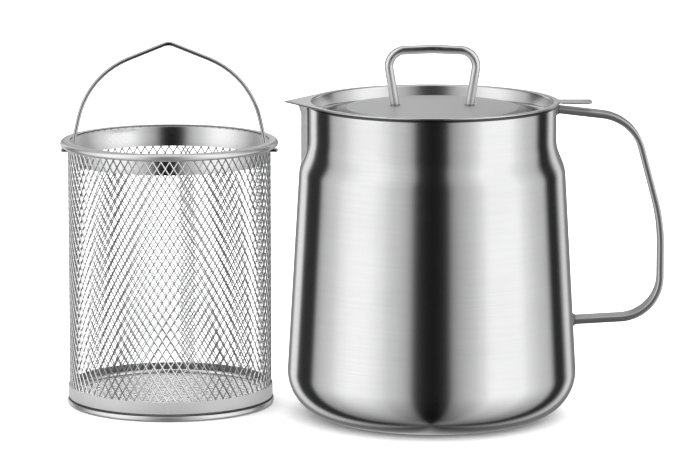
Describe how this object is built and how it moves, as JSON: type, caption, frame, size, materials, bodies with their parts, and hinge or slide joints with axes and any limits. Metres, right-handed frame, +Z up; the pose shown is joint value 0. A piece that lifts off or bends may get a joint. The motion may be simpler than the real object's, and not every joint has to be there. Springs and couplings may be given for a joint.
{
  "type": "bacon grease container",
  "caption": "Stainless pot with a pouring beak, strip handle and lift-off lid with a loop knob, and a mesh strainer basket with a swinging wire bail beside it.",
  "frame": {"origin": "centre of the pot's flat base, on the surface that the pot and the basket stand on", "axes": "+Z up, +X towards the pot's handle and away from its beak and the basket, +Y away from the picture's camera"},
  "size_m": [0.3033, 0.1572, 0.1866],
  "materials": {
    "brushed_steel": "brushed round the turned faces",
    "bright_steel": "polished satin",
    "mesh_steel": "expanded and woven mesh, bright",
    "weld_steel": "weld, slightly tarnished"
  },
  "bodies": {
    "pot": {"pot_shell": "brushed_steel", "pot_handle": "bright_steel", "handle_upper_weld": "weld_steel", "handle_lower_weld": "weld_steel"},
    "lid": {"lid_pan": "brushed_steel", "lid_knob": "bright_steel", "knob_left_weld": "weld_steel", "knob_right_weld": "weld_steel"},
    "basket": {"rim_ring": "bright_steel", "upper_band": "bright_steel", "mesh_wall": "mesh_steel", "mesh_seam": "mesh_steel", "lower_band": "bright_steel", "base_ring": "bright_steel", "base_hoop": "bright_steel", "base_mesh": "mesh_steel"},
    "bail": {"bail": "bright_steel"}
  },
  "joints": [
    {"name": "lid_lift", "type": "slide", "parent": "pot", "child": "lid", "axis": [0, 0, 1], "range_m": [0, 0.06]},
    {"name": "basket_lift", "type": "slide", "parent": "pot", "child": "basket", "axis": [0, 0, 1], "range_m": [0, 0.2]},
    {"name": "bail_swing", "type": "hinge", "parent": "basket", "child": "bail", "pos_m": [-0.1323, 0.03, 0.1294], "axis": [1, 0, 0], "range_deg": [-74, 74]}
  ]
}
